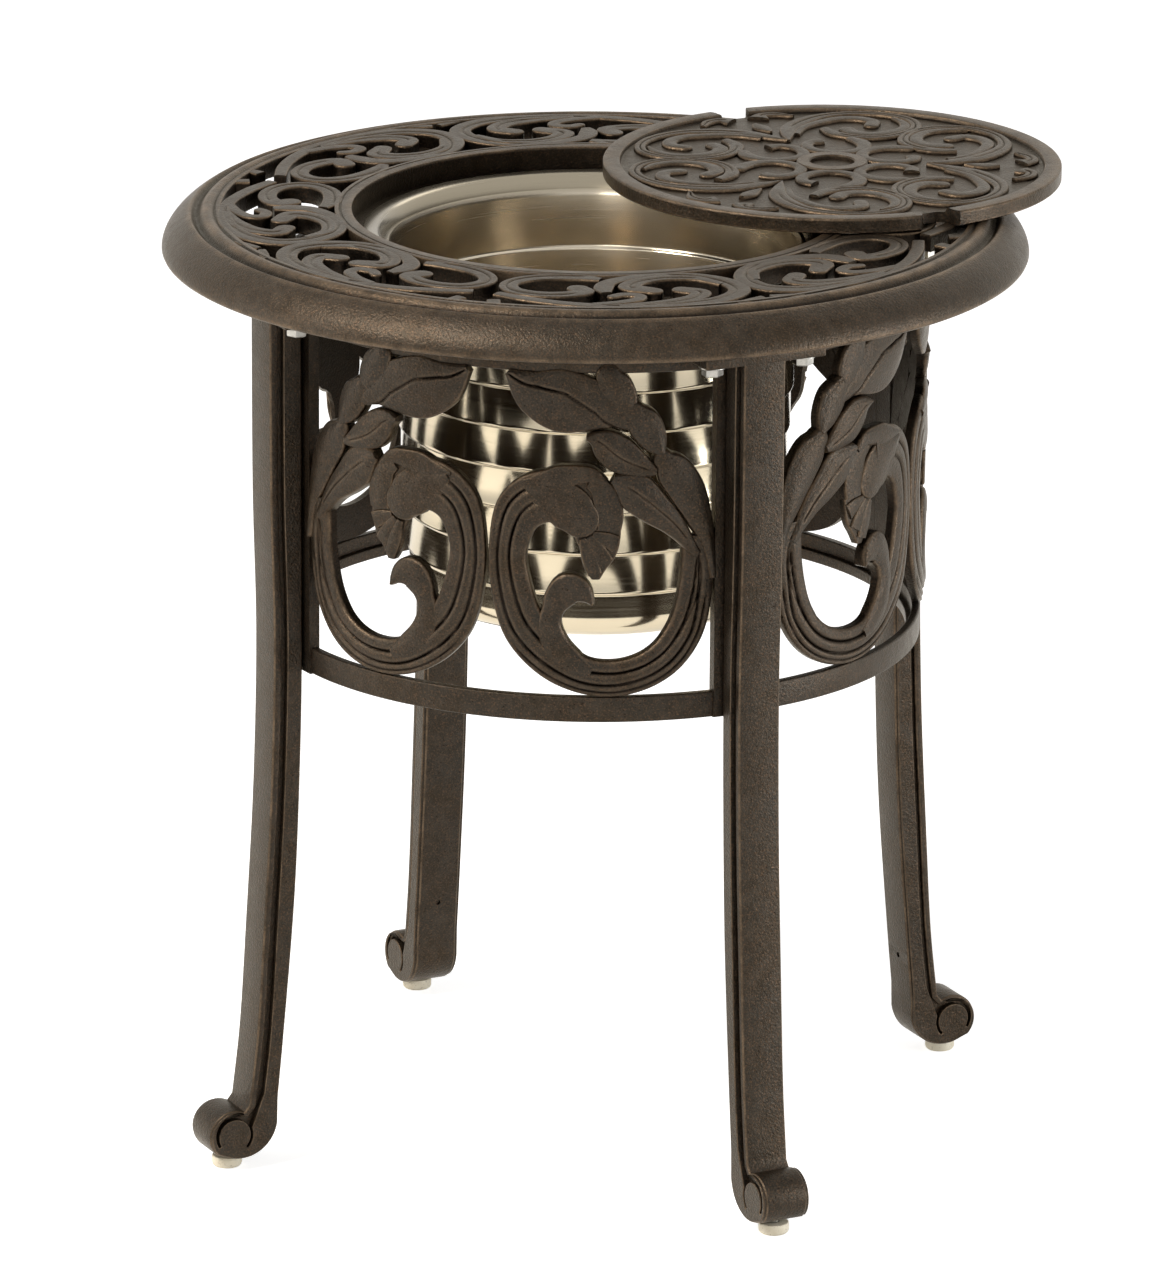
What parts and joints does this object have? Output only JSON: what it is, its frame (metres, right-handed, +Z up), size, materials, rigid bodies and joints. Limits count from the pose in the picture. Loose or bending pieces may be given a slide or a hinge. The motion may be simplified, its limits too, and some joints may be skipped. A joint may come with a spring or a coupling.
{
  "type": "ice bucket coffee table",
  "caption": "Round patio coffee table with an openwork scroll top and aprons, scroll-footed legs, a hung ice bucket in its middle and a loose disc lid.",
  "frame": {"origin": "on the floor, on the table top's vertical axis", "axes": "+Z is up, -Y is the front towards the viewer, +X is to the right; the legs stand on the diagonals"},
  "size_m": [0.598, 0.598, 0.668],
  "materials": {
    "bronze_coat": "speckled brown bronze powder coat on sand-cast metal, rubbed coppery on the high edges",
    "stainless": "stainless sheet, polished outside and brushed round inside",
    "zinc_steel": "plain zinc-plated steel",
    "nylon": "cream nylon, satin"
  },
  "bodies": {
    "table_frame": {"table_top": "bronze_coat", "apron_front": "bronze_coat", "apron_right": "bronze_coat", "apron_rear": "bronze_coat", "apron_left": "bronze_coat", "leg_rear_right": "bronze_coat", "leg_rear_left": "bronze_coat", "leg_front_left": "bronze_coat", "leg_front_right": "bronze_coat", "top_bolt_rear_right_1": "zinc_steel", "top_bolt_rear_right_2": "zinc_steel", "top_bolt_rear_left_1": "zinc_steel", "top_bolt_rear_left_2": "zinc_steel", "top_bolt_front_left_1": "zinc_steel", "top_bolt_front_left_2": "zinc_steel", "top_bolt_front_right_1": "zinc_steel", "top_bolt_front_right_2": "zinc_steel", "washer_rear_right_1": "zinc_steel", "washer_rear_right_2": "zinc_steel", "washer_rear_left_1": "zinc_steel", "washer_rear_left_2": "zinc_steel", "washer_front_left_1": "zinc_steel", "washer_front_left_2": "zinc_steel", "washer_front_right_1": "zinc_steel", "washer_front_right_2": "zinc_steel", "apron_screw_rear_right_1": "zinc_steel", "apron_screw_rear_right_2": "zinc_steel", "apron_screw_rear_left_1": "zinc_steel", "apron_screw_rear_left_2": "zinc_steel", "apron_screw_front_left_1": "zinc_steel", "apron_screw_front_left_2": "zinc_steel", "apron_screw_front_right_1": "zinc_steel", "apron_screw_front_right_2": "zinc_steel"},
    "ice_bucket_body": {"ice_bucket": "stainless"},
    "lid_body": {"lid": "bronze_coat"},
    "glide_rear_right": {"glide_pad_rear_right": "nylon", "glide_stem_rear_right": "zinc_steel"},
    "glide_rear_left": {"glide_pad_rear_left": "nylon", "glide_stem_rear_left": "zinc_steel"},
    "glide_front_left": {"glide_pad_front_left": "nylon", "glide_stem_front_left": "zinc_steel"},
    "glide_front_right": {"glide_pad_front_right": "nylon", "glide_stem_front_right": "zinc_steel"}
  },
  "joints": [
    {"name": "bucket_lift", "type": "slide", "parent": "table_frame", "child": "ice_bucket_body", "axis": [0, 0, 1], "range_m": [0, 0.3]},
    {"name": "lid_lift", "type": "slide", "parent": "ice_bucket_body", "child": "lid_body", "axis": [0, 0, 1], "range_m": [0, 0.2]},
    {"name": "glide_rear_right_screw_out", "type": "slide", "parent": "table_frame", "child": "glide_rear_right", "axis": [0, 0, -1], "range_m": [0, 0.008]},
    {"name": "glide_rear_left_screw_out", "type": "slide", "parent": "table_frame", "child": "glide_rear_left", "axis": [0, 0, -1], "range_m": [0, 0.008]},
    {"name": "glide_front_left_screw_out", "type": "slide", "parent": "table_frame", "child": "glide_front_left", "axis": [0, 0, -1], "range_m": [0, 0.008]},
    {"name": "glide_front_right_screw_out", "type": "slide", "parent": "table_frame", "child": "glide_front_right", "axis": [0, 0, -1], "range_m": [0, 0.008]}
  ]
}
